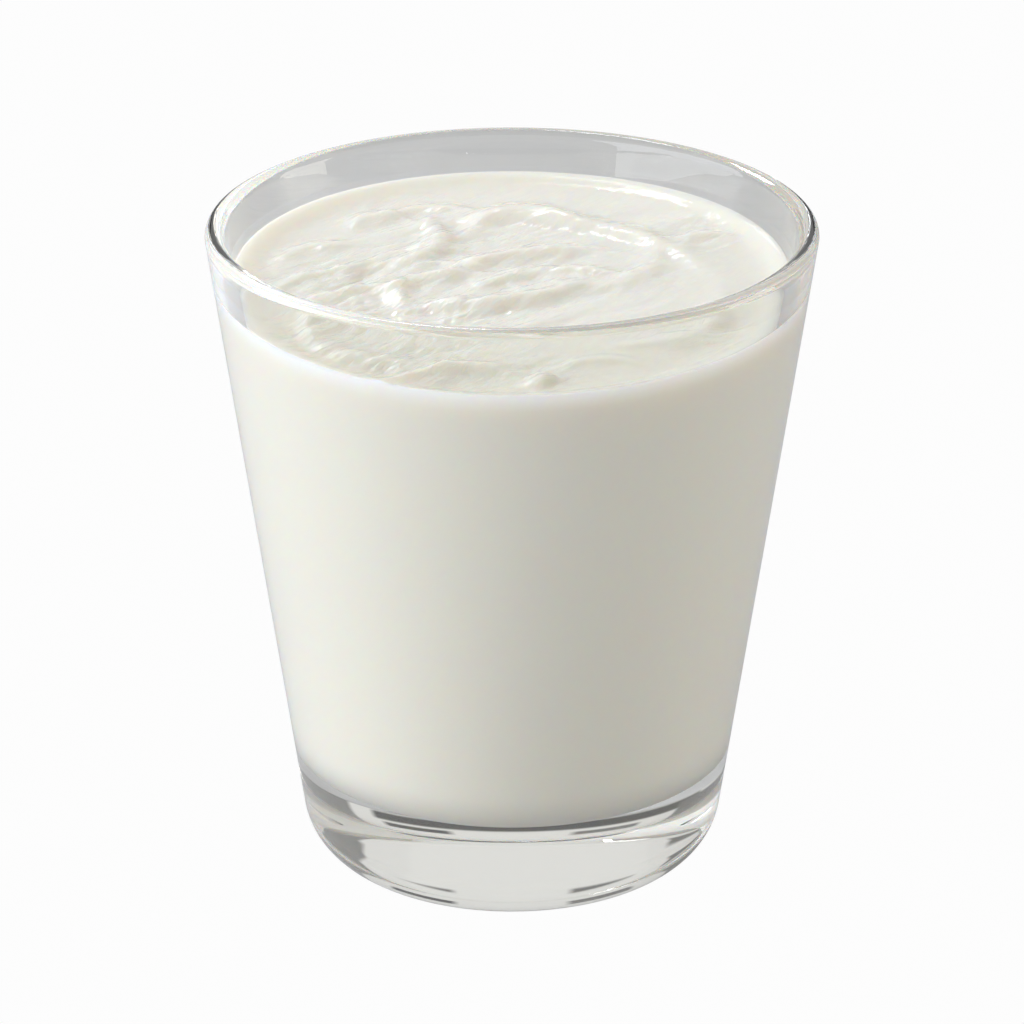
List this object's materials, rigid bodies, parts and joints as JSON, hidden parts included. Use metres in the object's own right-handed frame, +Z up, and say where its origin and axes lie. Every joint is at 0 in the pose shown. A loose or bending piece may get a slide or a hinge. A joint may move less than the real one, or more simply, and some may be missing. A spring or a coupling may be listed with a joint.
{
  "type": "glass of yogurt",
  "caption": "Clear glass tumbler with a thick rounded base, filled nearly to its rim with plain white yogurt whose stirred top dips towards the front.",
  "frame": {"origin": "middle of the foot, on the surface that the glass stands on", "axes": "+Z up along the axis of the glass, +Y towards the side where the yogurt stands highest, +X to the right"},
  "size_m": [0.0846, 0.0846, 0.0942],
  "materials": {
    "clear_glass": "clear, fire polished soda-lime glass",
    "yogurt": "wet, creamy off-white, with low stirred ridges on top"
  },
  "bodies": {
    "root": {"tumbler": "clear_glass", "yogurt": "yogurt"}
  },
  "joints": []
}
